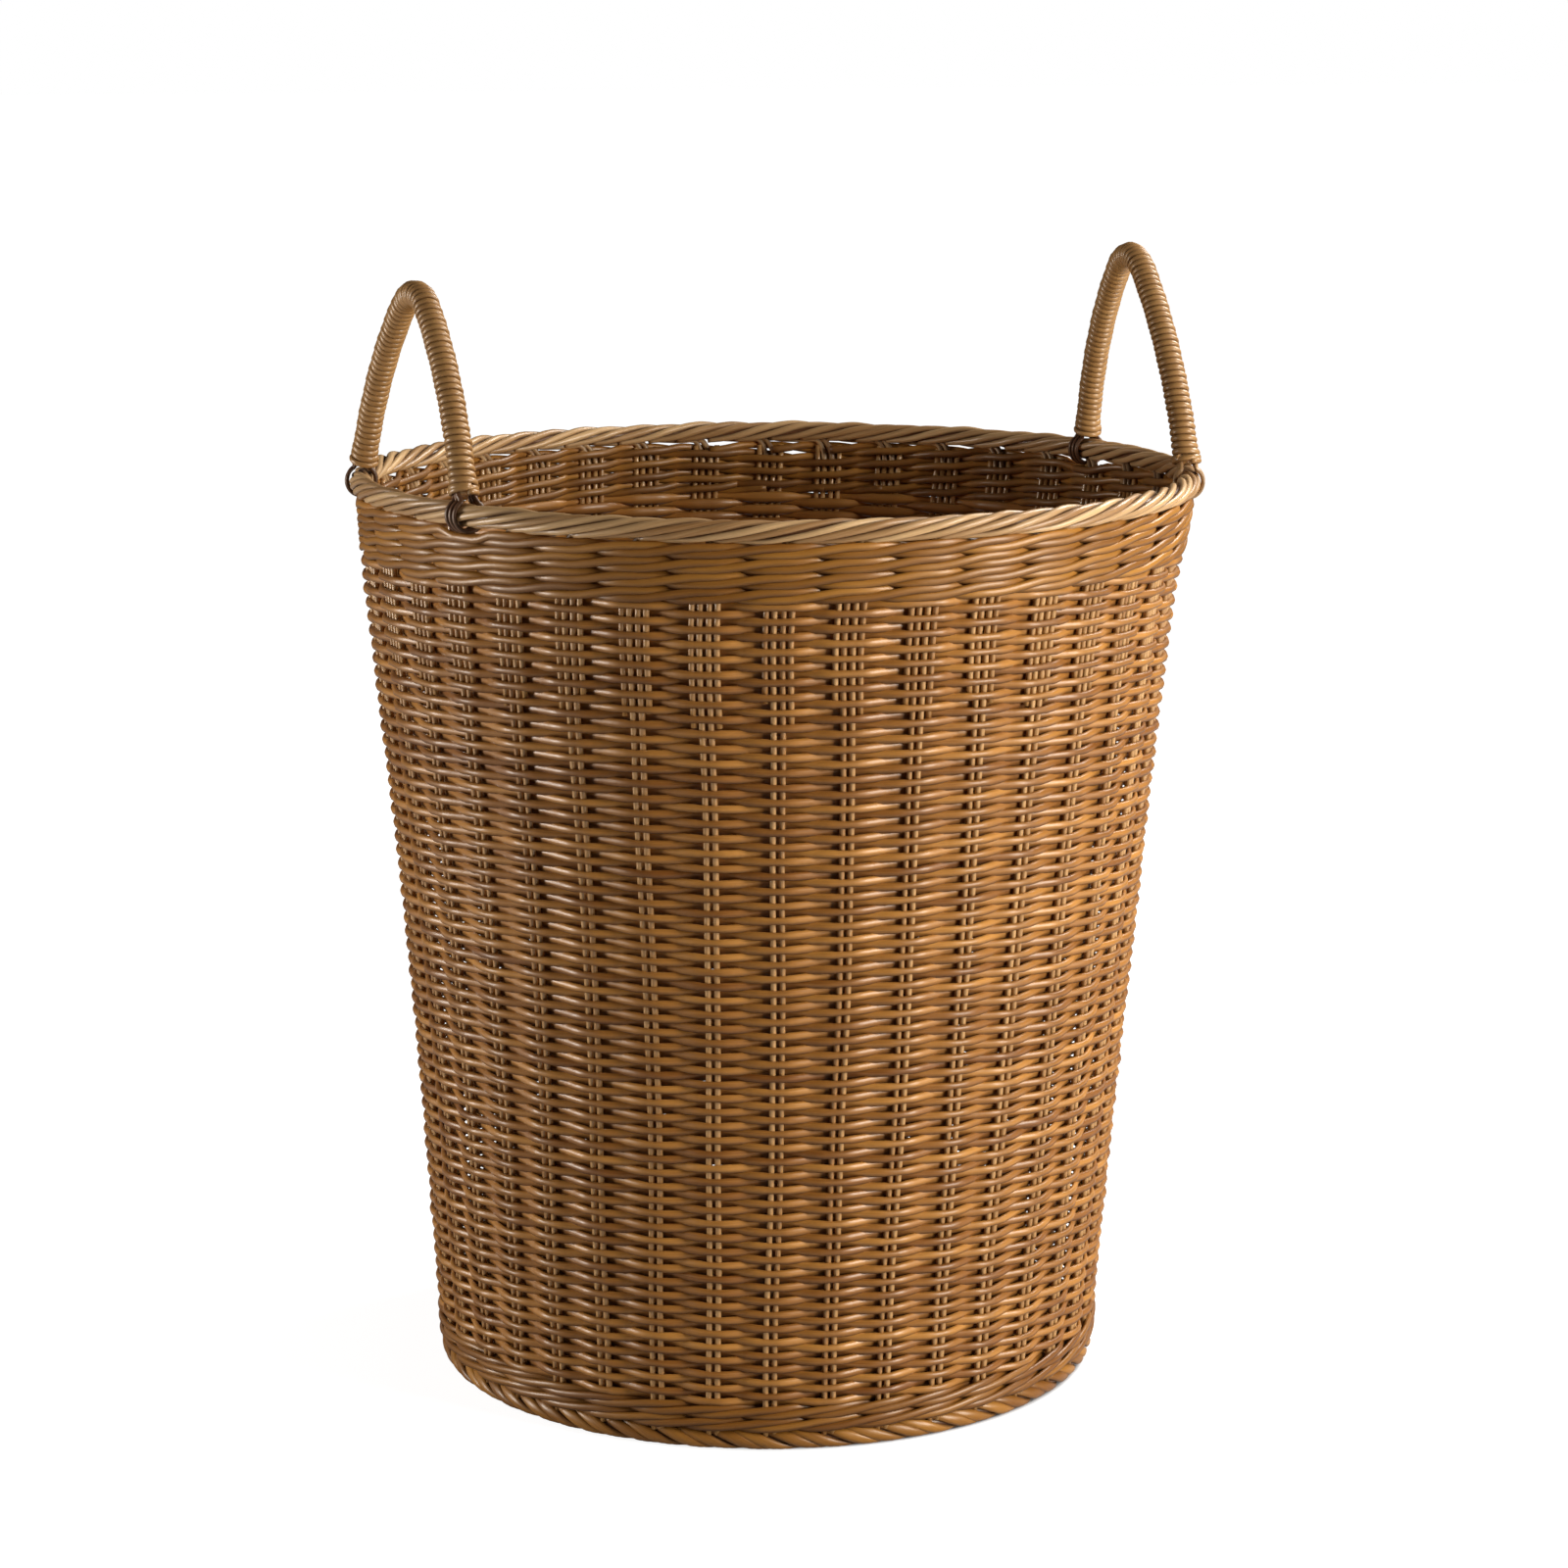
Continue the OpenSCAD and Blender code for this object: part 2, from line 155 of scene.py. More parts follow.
class Canes:
    """Gathers canes and makes one mesh of them. Each cane is a tube along a line, with the
    cross-section's first axis towards out. Its points keep where they lie along and round the
    cane, the cane's own tone, and how much painted shade they take where they lie deep or face down."""

    def __init__(self, sides=8):
        self.sides = sides
        self.batches = []

    def add(self, lines, thick, out, tall=None, shaded_side="sides", tone=None, closed=False, shade=0.0):
        """lines and out are canes x points x 3. thick is the half thickness along out and tall the
        one across it. The side named next, which lies deep or faces down, takes painted shade, and
        shade paints more shade all round a cane at some of its points."""
        lines = np.asarray(lines, float)
        n, m, _ = lines.shape
        thick = np.broadcast_to(np.asarray(thick, float), (n, m))
        tall = thick if tall is None else np.broadcast_to(np.asarray(tall, float), (n, m))
        if closed:
            tangent = unit(np.roll(lines, -1, 1) - np.roll(lines, 1, 1))
        else:
            tangent = unit(np.gradient(lines, axis=1))
        out = np.broadcast_to(out, lines.shape)
        normal = unit(out - (out * tangent).sum(-1, keepdims=True) * tangent)
        side = np.cross(tangent, normal)
        phi = np.arange(self.sides) * TURN / self.sides
        c, s = np.cos(phi), np.sin(phi)
        across, beside = thick[:, :, None] * c, tall[:, :, None] * s
        verts = (lines[:, :, None] + across[..., None] * normal[:, :, None]
                 + beside[..., None] * side[:, :, None])
        gaps = np.linalg.norm(np.diff(lines, axis=1), axis=-1)
        along = np.concatenate([np.zeros((n, 1)), np.cumsum(gaps, 1)], 1) + rng.uniform(0, 40, (n, 1))
        run = np.stack(np.broadcast_arrays(along[:, :, None], across, beside), -1)
        tone = rng.uniform(0, 1, n) if tone is None else np.broadcast_to(tone, n)
        # painted shade: deep darkens the side that lies deep or faces down, and shade darkens a cane
        # all round at some points
        deep = depth(shaded_side, c, s)
        shade = np.broadcast_to(np.asarray(shade, float), (n, m))[:, :, None]
        deep = deep + shade * (1 - deep)
        spare = np.ones((1, m, 1))             # the finishes read two values of the three
        looks = np.stack(np.broadcast_arrays(tone[:, None, None], deep, spare), -1)
        self.batches.append((verts, run, looks, closed))
        return self

    def faces(self):
        """Corner numbers and texture places of all the side faces, and of the discs on the ends."""
        sides, k = self.sides, np.arange(self.sides)
        total = sum(verts.shape[0] for verts, *_ in self.batches)
        phi = k * TURN / sides
        disc = np.stack([CAP_LONG * np.cos(phi), CAP_WIDE / total * np.sin(phi)], -1)
        quads, caps, quad_places, cap_places = [], [np.zeros((0, sides), int)], [], []
        first_corner = strip = 0
        for verts, _, _, closed in self.batches:
            n, m = verts.shape[:2]
            i, j = np.arange(n), np.arange(m if closed else m - 1)
            i3, j3, k3 = np.meshgrid(i, j, k, indexing="ij")
            ring = ((j3, k3), (j3, k3 + 1), (j3 + 1, k3 + 1), (j3 + 1, k3))
            quads.append(np.stack([first_corner + (i3 * m + jj % m) * sides + kk % sides
                                   for jj, kk in ring], -1).reshape(-1, 4))
            places = [(STRIP_START + STRIP_RUN * jj / len(j),
                       (strip + i3 + STRIP_EDGE + STRIP_GIRTH * kk / sides) / total) for jj, kk in ring]
            quad_places.append(np.stack([np.stack(place, -1) for place in places], -2).reshape(-1, 2))
            if not closed:
                start = first_corner + i[:, None] * m * sides + k[::-1]
                end = first_corner + (i[:, None] * m + m - 1) * sides + k
                caps.append(np.concatenate([start, end]))
                for at in CAP_PLACES:
                    middle = np.stack([np.full(n, at), (strip + i + 0.5) / total], -1)
                    cap_places.append((middle[:, None] + disc[None]).reshape(-1, 2))
            first_corner += n * m * sides
            strip += n
        return np.concatenate(quads), np.concatenate(caps), np.concatenate(quad_places + cap_places)

    def mesh(self, name):
        """One Blender object of all the canes, with its texture map and what the finishes read."""
        co, run, looks = (np.concatenate([np.broadcast_to(batch[at], batch[0].shape).reshape(-1, 3)
                                          for batch in self.batches]) for at in range(3))
        quads, caps, places = self.faces()
        corners = np.concatenate([quads.ravel(), caps.ravel()])
        sizes = np.repeat([4, self.sides], [len(quads), len(caps)])
        starts = np.concatenate([[0], np.cumsum(sizes)[:-1]])
        me = bpy.data.meshes.new(name)
        me.vertices.add(len(co))
        me.vertices.foreach_set("co", co.astype(np.float32).ravel())
        me.loops.add(len(corners))
        me.loops.foreach_set("vertex_index", corners.astype(np.int32))
        me.polygons.add(len(sizes))
        me.polygons.foreach_set("loop_start", starts.astype(np.int32))
        me.update(calc_edges=True)
        me.polygons.foreach_set("use_smooth", np.repeat([True, False], [len(quads), len(caps)]))
        texture = me.uv_layers.new(name="OFBake")
        texture.data.foreach_set("uv", places.astype(np.float32).ravel())
        for attribute, values in (("cane_run", run), ("cane_looks", looks)):
            made = me.attributes.new(attribute, "FLOAT_VECTOR", "POINT")
            made.data.foreach_set("vector", values.astype(np.float32).ravel())
        me.validate()
        ob = bpy.data.objects.new(name, me)
        bpy.context.scene.collection.objects.link(ob)
        return ob


# ---------------------------------------------------------------- materials
# A Mix node's sockets, which share names: the factor, then two numbers or two colours and their mix
MIX_FACTOR = 0
MIX_NUMBERS, MIXED_NUMBER = (2, 3), 0
MIX_COLOURS, MIXED_COLOUR = (6, 7), 2


def socket(tree, name, kind, way, value=None):
    made = tree.interface.new_socket(name=name, in_out=way, socket_type="NodeSocket" + kind)
    if value is not None:
        made.default_value = value


def shader_node(nodes, kind, **settings):
    made = nodes.new("ShaderNode" + kind)
    for key, value in settings.items():
        setattr(made, key, value)
    return made


def cane_skin():
    """Colour, roughness and height of a split and varnished cane: long fibres, slow blotches,
    a tone for each cane, and painted shade where canes lie deep in the weave or face down."""
    tree = bpy.data.node_groups.new("cane skin", "ShaderNodeTree")
    for name, value in (("Pale", (0.5, 0.3, 0.1, 1)), ("Deep", (0.2, 0.08, 0.02, 1)),
                        ("Painted shade colour", (0.05, 0.02, 0.01, 1))):
        socket(tree, name, "Color", "INPUT", value)
    for name, value in (("Middle", 0.5), ("Tone spread", 0.5), ("Blotches", 0.5), ("Fibres", 0.5),
                        ("Painted shade amount", 0.6), ("Dullness", 0.4)):
        socket(tree, name, "Float", "INPUT", value)
    for name, kind in (("Colour", "Color"), ("Roughness", "Float"), ("Height", "Float")):
        socket(tree, name, kind, "OUTPUT")
    nodes, links = tree.nodes, tree.links
    inside, outside = nodes.new("NodeGroupInput"), nodes.new("NodeGroupOutput")

    def maths(kind, *values):
        made = shader_node(nodes, "Math", operation=kind)
        for at, value in enumerate(values):
            if isinstance(value, (int, float)):
                made.inputs[at].default_value = value
            else:
                links.new(value, made.inputs[at])
        return made.outputs[0]

    def noise(bumps, detail, rough):
        """Noise with this many bumps a metre along the cane and across it both ways."""
        scaled = shader_node(nodes, "VectorMath", operation="MULTIPLY")
        links.new(run.outputs["Vector"], scaled.inputs[0])
        scaled.inputs[1].default_value = bumps
        made = shader_node(nodes, "TexNoise")
        for key, value in (("Scale", 1.0), ("Detail", detail), ("Roughness", rough)):
            made.inputs[key].default_value = value
        links.new(scaled.outputs[0], made.inputs["Vector"])
        return made.outputs["Fac"]

    def pushed(value, amount, total, strength=1.0):
        """The total, moved up or down by a value that goes from 0 to 1, by one of the amounts."""
        size = maths("MULTIPLY", inside.outputs[amount], strength)
        return maths("MULTIPLY_ADD", maths("SUBTRACT", value, 0.5), size, total)

    def mixed(factor, first, second):
        made = shader_node(nodes, "Mix", data_type="RGBA")
        for at, value in zip((MIX_FACTOR, *MIX_COLOURS), (factor, first, second)):
            links.new(value, made.inputs[at])
        return made.outputs[MIXED_COLOUR]

    run = shader_node(nodes, "Attribute", attribute_name="cane_run")
    looks = shader_node(nodes, "Attribute", attribute_name="cane_looks")
    parts = shader_node(nodes, "SeparateXYZ")
    links.new(looks.outputs["Vector"], parts.inputs[0])
    tone, deep = parts.outputs["X"], parts.outputs["Y"]
    fibres = noise((28, 1500, 1500), 3, 0.6)
    blotches = noise((14, 160, 160), 2, 0.5)
    drift = noise((2.6, 20, 20), 1, 0.5)

    light = pushed(tone, "Tone spread", inside.outputs["Middle"])
    light = pushed(drift, "Tone spread", light, 1.4)
    light = pushed(blotches, "Blotches", light)
    light = pushed(fibres, "Fibres", light)
    light = maths("MINIMUM", maths("MAXIMUM", light, 0.0), 1.0)
    clean = mixed(light, inside.outputs["Deep"], inside.outputs["Pale"])
    # Painted shade: the colour is drawn towards the shade colour where the cane lies deep in the weave
    # or faces down.
    shade_amount = maths("MULTIPLY", deep, inside.outputs["Painted shade amount"])
    links.new(mixed(shade_amount, clean, inside.outputs["Painted shade colour"]), outside.inputs["Colour"])
    rough = maths("MULTIPLY_ADD", maths("SUBTRACT", fibres, 0.5), 0.30, inside.outputs["Dullness"])
    links.new(maths("MULTIPLY_ADD", deep, 0.25, rough), outside.inputs["Roughness"])
    links.new(maths("MULTIPLY_ADD", blotches, 0.6, fibres), outside.inputs["Height"])
    return tree


SKIN = cane_skin()


def cane_finish(name, pale, deep, shade_colour, middle=0.5, tone=0.6, blotches=0.6, fibres=0.7, pressed=0.72,
                dull=0.42, coat=0.34, grooves=0.00020):
    """A varnished cane between its pale and deep colours, with a third colour painted on as shade
    where it lies deep in the weave or faces down, as strongly as pressed says. grooves is the fibres'
    depth.
    """
    made = bpy.data.materials.new(name)
    made.use_nodes = True
    nodes, links = made.node_tree.nodes, made.node_tree.links
    shader = nodes["Principled BSDF"]
    skin = shader_node(nodes, "Group", node_tree=SKIN)
    for key, value in (("Pale", pale), ("Deep", deep), ("Painted shade colour", shade_colour)):
        skin.inputs[key].default_value = (*value, 1)
    for key, value in (("Middle", middle), ("Tone spread", tone), ("Blotches", blotches),
                       ("Fibres", fibres), ("Painted shade amount", pressed), ("Dullness", dull)):
        skin.inputs[key].default_value = value
    bump = shader_node(nodes, "Bump")
    for key, value in (("Strength", 0.6), ("Distance", grooves)):
        bump.inputs[key].default_value = value
    links.new(skin.outputs["Colour"], shader.inputs["Base Color"])
    links.new(skin.outputs["Roughness"], shader.inputs["Roughness"])
    links.new(skin.outputs["Height"], bump.inputs["Height"])
    links.new(bump.outputs["Normal"], shader.inputs["Normal"])
    for key, value in (("Coat Weight", coat), ("Coat Roughness", 0.22), ("Specular IOR Level", 0.62),
                       ("Specular Tint", (1.0, 0.84, 0.64, 1))):
        shader.inputs[key].default_value = value
    return made


# The last colour of each finish is painted shade, for where its canes lie deep in the weave or face
# down.
FINISH = {
    "weave_cane": cane_finish("honey weaving cane", pale=(0.60, 0.262, 0.050),
                              deep=(0.225, 0.071, 0.008), shade_colour=(0.040, 0.012, 0.002)),
    "wale_cane": cane_finish("honey wale cane", pale=(0.47, 0.20, 0.029), deep=(0.18, 0.058, 0.006),
                             shade_colour=(0.045, 0.014, 0.003), coat=0.24),
    "stake_cane": cane_finish("brown stake cane", pale=(0.68, 0.39, 0.15), deep=(0.34, 0.15, 0.040),
                              shade_colour=(0.04, 0.014, 0.004), dull=0.26, coat=0.7),
    "border_cane": cane_finish("pale border cane", pale=(0.78, 0.50, 0.235), deep=(0.31, 0.142, 0.042),
                               shade_colour=(0.055, 0.018, 0.005)),
    "handle_cane": cane_finish("tan wrapping cane", pale=(0.52, 0.285, 0.098), deep=(0.27, 0.12, 0.032),
                               shade_colour=(0.12, 0.05, 0.014), tone=0.2, pressed=0.6),
    # the dark cane also colours the border cores, as painted shade in the gaps between their strands
    "dark_cane": cane_finish("dark binding cane and core shade", pale=(0.20, 0.080, 0.032), deep=(0.060, 0.023, 0.010),
                             shade_colour=(0.015, 0.007, 0.004), dull=0.40, coat=0.2),
}

# ---------------------------------------------------------------- the side
SWAYS = ((0.55, 0.0008), (0.26, 0.0004), (0.12, 0.00018))    # a group's bends: height of one, size
SAGS = ((2, 9, 0.7, 0.0009), (5, -23, 2.1, 0.0005), (9, 41, 0, 0.0003))    # a turn, climb, start, size
SAG_LOW, SAG_HIGH = (0.02, 0.12), (0.475, 0.10)    # the rows sag above and below here, within this
ROW_LIFT, ROW_BULGE, WEAVE_UNEVEN = 0.00010, 0.00016, 0.00006    # how uneven the rows and canes are


def wall_r(z):
    t = z / RIM_Z
    return FOOT_R + (TOP_R - FOOT_R) * t - 4 * SIDE_BOW * t * (1 - t)


sway_at = rng.uniform(0, TURN, (GROUPS, 3))


def group_angle(g, z):
    """Angle of stake group g, which wanders a little on its way up; g runs on past one turn."""
    off = sum(size * np.sin(TURN * z / wave + sway_at[g % GROUPS, i])
              for i, (wave, size) in enumerate(SWAYS))
    return BACK + STEP * g + off / wall_r(z)


def settled(angle, z):
    """How the rows sag and rise round the basket, and lie level near its foot and its rim."""
    (low, rise), (high, fall) = SAG_LOW, SAG_HIGH
    ease = np.clip((z - low) / rise, 0, 1) * np.clip((high - z) / fall, 0, 1)
    return ease * sum(size * np.sin(waves * angle + climb * z + start)
                      for waves, climb, start, size in SAGS)


bye_foot = BYE_FOOT + rng.uniform(*BYE_UNEVEN, (GROUPS, 2))      # lower end of each bye-stake


def group_half(g, z):
    """Half the width of stake group g at height z."""
    have = (bye_foot[g % GROUPS] < np.asarray(z)[..., None]).mean(-1)
    return PAIR_HALF + have * (BYE_AT - PAIR_AT)


def between(u, z):
    """For places u counted in groups: the group before, the angle, and how far the cane has
    crossed from that group to the next, from 0 to 1."""
    g = np.floor(u).astype(int)
    t = u - g
    a, b = group_angle(g, z), group_angle(g + 1, z)
    span = wall_r(z) * STEP
    qa, qb = group_half(g, z) / span, group_half(g + 1, z) / span
    return g, a + (b - a) * t, np.clip((t - qa) / (1 - qa - qb), 0, 1)


WEAVE_OUT = 0.80                       # how far a cane's middle stands off the stakes, in halves
WEAVE_CROSSING = 0.80                  # share of the way between groups that it crosses straight in
WEAVE_THICK, WEAVE_THICKER = 0.70, 0.12    # its size out from the side, in halves, and more at a group
WEAVE_TALL, DRAWN_IN, SPREAD = 1.18, 0.24, 0.54    # along the side, less over a group, more behind it
# painted shade on a cane where it comes over a group and where it lies behind one
OVER_PAINTED_SHADE, UNDER_PAINTED_SHADE = 0.30, 0.25
BOUND_REACH = 0.10                     # how far from a group it is drawn in, in ways between groups
GIRTH_UNEVEN = 0.03


def crossing(s):
    """From 1, outside one group, nearly straight over to -1, inside the next."""
    leaning = (1 - 2 * s) / WEAVE_CROSSING
    return leaning / (1 + np.abs(leaning) ** 6) ** (1 / 6)


def plain_weave(band, samples=10):
    """A band of single canes, each out over one group and in behind the next. A cane is flat between
    the groups, wide and darkened with painted shade behind a group, and drawn in and darkened with
    painted shade where it comes over one."""
    canes = Canes(8)
    for k in range(band * ROWS // BANDS, (band + 1) * ROWS // BANDS):
        z0 = WEAVE_Z + (k + 0.5) * ROW_H
        start = 2 * int(rng.integers(0, GROUPS // 2)) + (k + 1) % 2
        u = start + np.linspace(END_GAP, GROUPS - END_GAP, GROUPS * samples + 1)
        g, angle, s = between(u, z0)
        lift, bulge = rng.normal(0, ROW_LIFT, GROUPS), rng.normal(0, ROW_BULGE, GROUPS)
        mix = (1 - np.cos(np.pi * s)) / 2
        ease = lambda values: values[g % GROUPS] * (1 - mix) + values[(g + 1) % GROUPS] * mix
        half = WEAVE_HALF + rng.normal(0, WEAVE_UNEVEN)
        swing = np.where((g + k) % 2 == 0, 1.0, -1.0) * crossing(s)
        z = z0 + settled(angle, z0) + ease(lift)
        line = spin(wall_r(z) + swing * (WEAVE_OUT * half + STAKE_R) + ease(bulge), angle, z)[None]
        girth = half * (1 + GIRTH_UNEVEN * np.sin(angle * rng.integers(2, 6) + rng.uniform(0, TURN)))
        over, under = np.clip(swing, 0, 1), np.clip(-swing, 0, 1)
        bound = np.exp(-(np.minimum(s, 1 - s) / BOUND_REACH) ** 2)
        # the cane is darkened with painted shade over and behind each group
        canes.add(line, girth * (WEAVE_THICK + WEAVE_THICKER * np.abs(swing)), around_wall(line),
                  girth * (WEAVE_TALL - DRAWN_IN * over * bound + SPREAD * under), shaded_side="below",
                  shade=OVER_PAINTED_SHADE * over * bound + UNDER_PAINTED_SHADE * smooth(2.0 * under - 1.0))
    return canes


# A rod's way over two groups and behind one: groups along, rise in quarter rounds, out or in
WALE_PATH = np.array([(0, -1.0, 1.0), (0.5, 0.05, 1.12), (1, 1.05, 1.0), (1.35, 1.45, 0.45),
                      (1.5, 1.2, 0.1), (1.7, 0.6, -0.6), (2, 0, -1.0), (2.3, -0.6, -0.6),
                      (2.5, -1.2, 0.1), (2.65, -1.45, 0.45), (3, -1.0, 1.0)])
WALE_RODS, WALE_LEAD = 3, 4            # rods, and the groups before the first that they start at
WALE_NIP, WALE_UNEVEN = 0.0001, 0.00015    # how far they press into the stakes, and lie up and down
WALE_THICK, WALE_TALL = 0.80, 1.10     # a rod's size out from the side and along it, in halves
WALE_STEP = 0.08                       # last share of a round, in which the rods step up to the next
# painted shade on a rod where it passes behind the stakes
WALE_PAINTED_SHADE = 0.5
LOOP_ROOM, LOOP_EASE = 0.020, 0.013    # half the width that is pressed down, and how soon it eases


def eased(values):
    """Rounds off the corners of a row of values."""
    kernel = np.array([1, 2, 3, 2, 1]) / 9
    return np.convolve(np.pad(values, 2, mode="edge"), kernel, "valid")


def beside_loops(angle):
    """1 under the loops of a handle, 0 away from them."""
    near = np.zeros_like(angle)
    for at in LOOP_ANGLES:
        off = np.abs((angle - at + math.pi) % TURN - math.pi) * RIM_R
        near = np.maximum(near, smooth((LOOP_ROOM - off) / LOOP_EASE))
    return near


def wale(foot, rounds, height, half, samples=10):
    """Three rods that each pass out over two groups and in behind one, and step up a round at the
    back, where they also start and end on the inside."""
    canes = Canes(10)
    length = WALE_RODS * ((GROUPS * rounds - WALE_LEAD) // WALE_RODS) + 2 * WALE_RODS
    for rod in range(WALE_RODS):
        u = rod - WALE_LEAD + np.linspace(END_GAP, length - END_GAP, length * samples + 1)
        turn = np.clip(u / GROUPS, 0, rounds - 1e-6)
        level = np.floor(turn) + smooth((turn % 1 - (1 - WALE_STEP)) / WALE_STEP)
        level = np.minimum(level, rounds - 1)
        z0 = foot + height * (level + 0.5)
        g, angle, s = between(u, z0)
        where = (g - rod) % WALE_RODS + s
        rise, swing = (eased(np.interp(where, WALE_PATH[:, 0], WALE_PATH[:, i])) for i in (1, 2))
        uneven = rng.normal(0, WALE_UNEVEN, length + WALE_LEAD)
        lift = np.interp(u, np.arange(-WALE_LEAD, length), uneven)
        z = z0 + rise * height / 4 + settled(angle, z0) + lift
        z = np.where(z > LOOP_ROOM_Z, z - (z - LOOP_ROOM_Z) * beside_loops(angle), z)
        line = spin(wall_r(z) + swing * (half + STAKE_R - WALE_NIP), angle, z)[None]
        # the rod is darkened with painted shade where it lies behind the stakes
        canes.add(line, half * WALE_THICK, around_wall(line), half * WALE_TALL, shaded_side="below",
                  shade=WALE_PAINTED_SHADE * smooth(-1.6 * swing))
    return canes


STAKE_OUT, STAKE_WOBBLE = 0.0007, 0.00015      # how far outside the side's middle, and how unstraight
STAKE_WAVES, STAKE_UNEVEN = 160, 0.03


def stakes(offsets, feet, top, samples=36):
    """Upright canes that stand in the groups, from their own feet up to top."""
    canes = Canes(8)
    g = np.repeat(np.arange(GROUPS), len(offsets))
    side = np.tile(offsets, GROUPS)
    z = feet.reshape(-1, 1) + (top - feet.reshape(-1, 1)) * np.linspace(0, 1, samples)
    angle = group_angle(g[:, None], z) + side[:, None] / wall_r(z)
    off = STAKE_OUT + STAKE_WOBBLE * np.sin(z * STAKE_WAVES + rng.uniform(0, TURN, (len(g), 1)))
    line = spin(wall_r(z) + off, angle, z)
    half = STAKE_R * (1 + rng.normal(0, STAKE_UNEVEN, (len(g), 1)))
    canes.add(line, half, around_wall(line), shaded_side="none")
    return canes


# ---------------------------------------------------------------- rope borders
# Rows of a strand: degrees round the core, groups along, how far from the core's middle, half thickness
RIM_STRAND = ((-72, 0, 0.00430, 0.00160), (0, 0.68, 0.00425, 0.00170), (40, 1.06, 0.00422, 0.00184),
              (120, 1.68, 0.00420, 0.00194), (200, 2.30, 0.00405, 0.00184), (255, 2.78, 0.0038, 0.0016))
FOOT_STRAND = ((-112, 0, 0.00405, 0.00250), (228, 1.95, 0.00405, 0.00250))
STRAND_THICK, STRAND_WIDE = 0.97, 1.03     # a strand's size out from the core and across, in halves
STRAND_FLAT = 0.0003                   # how near the floor the foot's strands may come
STRAND_PLACE, STRAND_LAY, STRAND_SIZE = 0.035, 0.00026, 0.05    # unevenness in groups, metres, shares
STRAND_WAVE = 0.00022
LEAD_Z = np.array([0.4600, 0.4655, 0.4695])    # a rim strand still stands as a stake at these heights,
LEAD_ALONG = np.array([0, 0.0002, 0.0012])     # leans this far along the rim
LEAD_OUT = np.array([0, 0, 0.0004])            # and this far out,
LEAD_TURNS = ((0.0, -100), (0.5, -88))         # then passes below the core: share of the way, degrees,
LEAD_STEP, LEAD_R = 0.0038, 0.0045             # this far along the rim and from the core's middle
LEAD_STRAIGHT_Z = 0.468                        # above this a strand has left its group's line


def rope_border(r0, z0, hand, strand, spread, slip=0.0, loose=1.0, pressed=1.0, flat=None, lead=None,
                samples=44):
    """Pairs of strands from each stake group, laid once round the border's core. hand is the way
    they go round it, spread how far apart the two of a pair lie, in groups, and slip moves them all
    along. loose is how uneven they are, pressed makes them wide and thin, flat is the height that
    they are worn flat from, and lead gives the points before the first."""
    canes = Canes(10)
    strands = 2 * GROUPS
    g, m = np.divmod(np.arange(strands), 2)
    degrees, groups, lay_r, half = np.array(strand).T
    w = np.linspace(0, 1, 17)[None]
    turned = degrees[0] + (degrees[-1] - degrees[0]) * w
    along0 = BACK + STEP * (g + spread * (m - 0.5) + slip)
    along0 = along0 + rng.normal(0, STRAND_PLACE * STEP * loose, strands)
    along = along0[:, None] + STEP * np.interp(turned, degrees, groups)
    around = hand * np.radians(turned)
    wave = STRAND_WAVE * np.sin(3 * TURN * w + rng.uniform(0, TURN, (strands, 1)))
    lay = np.interp(turned, degrees, lay_r) + rng.normal(0, STRAND_LAY * loose, (strands, 1))
    lay = lay + wave * loose
    points = spin(r0 + lay * np.cos(around), along, z0 + lay * np.sin(around))
    thick = np.interp(turned, degrees, half)[0]
    if lead is not None:
        start = lead(g, m, along0)
        points = np.concatenate([start, points], 1)
        thick = np.concatenate([np.full(start.shape[1], thick[0]), thick])
    line = bent(points, samples)
    thick = np.interp(np.linspace(0, len(thick) - 1, samples), np.arange(len(thick)), thick)
    radius = np.hypot(line[..., 0], line[..., 1])
    away = unit(np.stack([line[..., 0] / radius * (radius - r0), line[..., 1] / radius * (radius - r0),
                          line[..., 2] - z0], -1))
    size = thick * (1 + rng.normal(0, STRAND_SIZE * loose, (strands, 1)))
    # the strand's back, against the core, takes painted shade
    canes.add(line, size * STRAND_THICK / pressed, away, size * STRAND_WIDE * pressed, shaded_side="back")
    if flat is not None:
        verts = canes.batches[-1][0]
        room = flat - STRAND_FLAT
        low = flat - room * (1 - np.exp(-np.clip(flat - verts[..., 2], 0, None) / room))
        verts[..., 2] = np.where(verts[..., 2] < flat, low, verts[..., 2])
    return canes


def rim_lead(g, m, along0):
    """Each rim strand still stands as a stake below the border, then leans over and under it."""
    angle = group_angle(g[:, None], np.minimum(LEAD_Z, LEAD_STRAIGHT_Z)[None])
    angle = angle + (PAIR_AT * (2 * m - 1))[:, None] / wall_r(LEAD_Z)
    angle = angle + LEAD_ALONG / RIM_R
    stake = spin(wall_r(LEAD_Z) + LEAD_OUT, angle, LEAD_Z)
    leave = angle[:, -1] + LEAD_STEP / RIM_R
    under = []
    for share, turned in LEAD_TURNS:
        around = math.radians(turned)
        along = leave + share * (along0 - leave)
        under.append(spin(RIM_R + LEAD_R * math.cos(around), along, RIM_Z + LEAD_R * math.sin(around)))
    return np.concatenate([stake, np.stack(under, 1)], 1)


def hoop(r, z, half, samples=190):
    line = spin(r, np.arange(samples) * TURN / samples, z)[None]
    return Canes(10).add(line, half, around_wall(line), shaded_side="none", closed=True)


# ---------------------------------------------------------------- base
BASE_THICK, BASE_WIDE = 0.72, 1.25     # a weaving cane's size up and across, in halves
BASE_EDGE, BASE_UNEVEN = 0.0012, 0.0001    # from the sticks' ends to the first round; how uneven
BIND_ROUNDS, BIND_EDGE, BIND_PITCH, BIND_SWING = 4, 0.0012, 0.0031, 0.0040    # round the crossed sticks


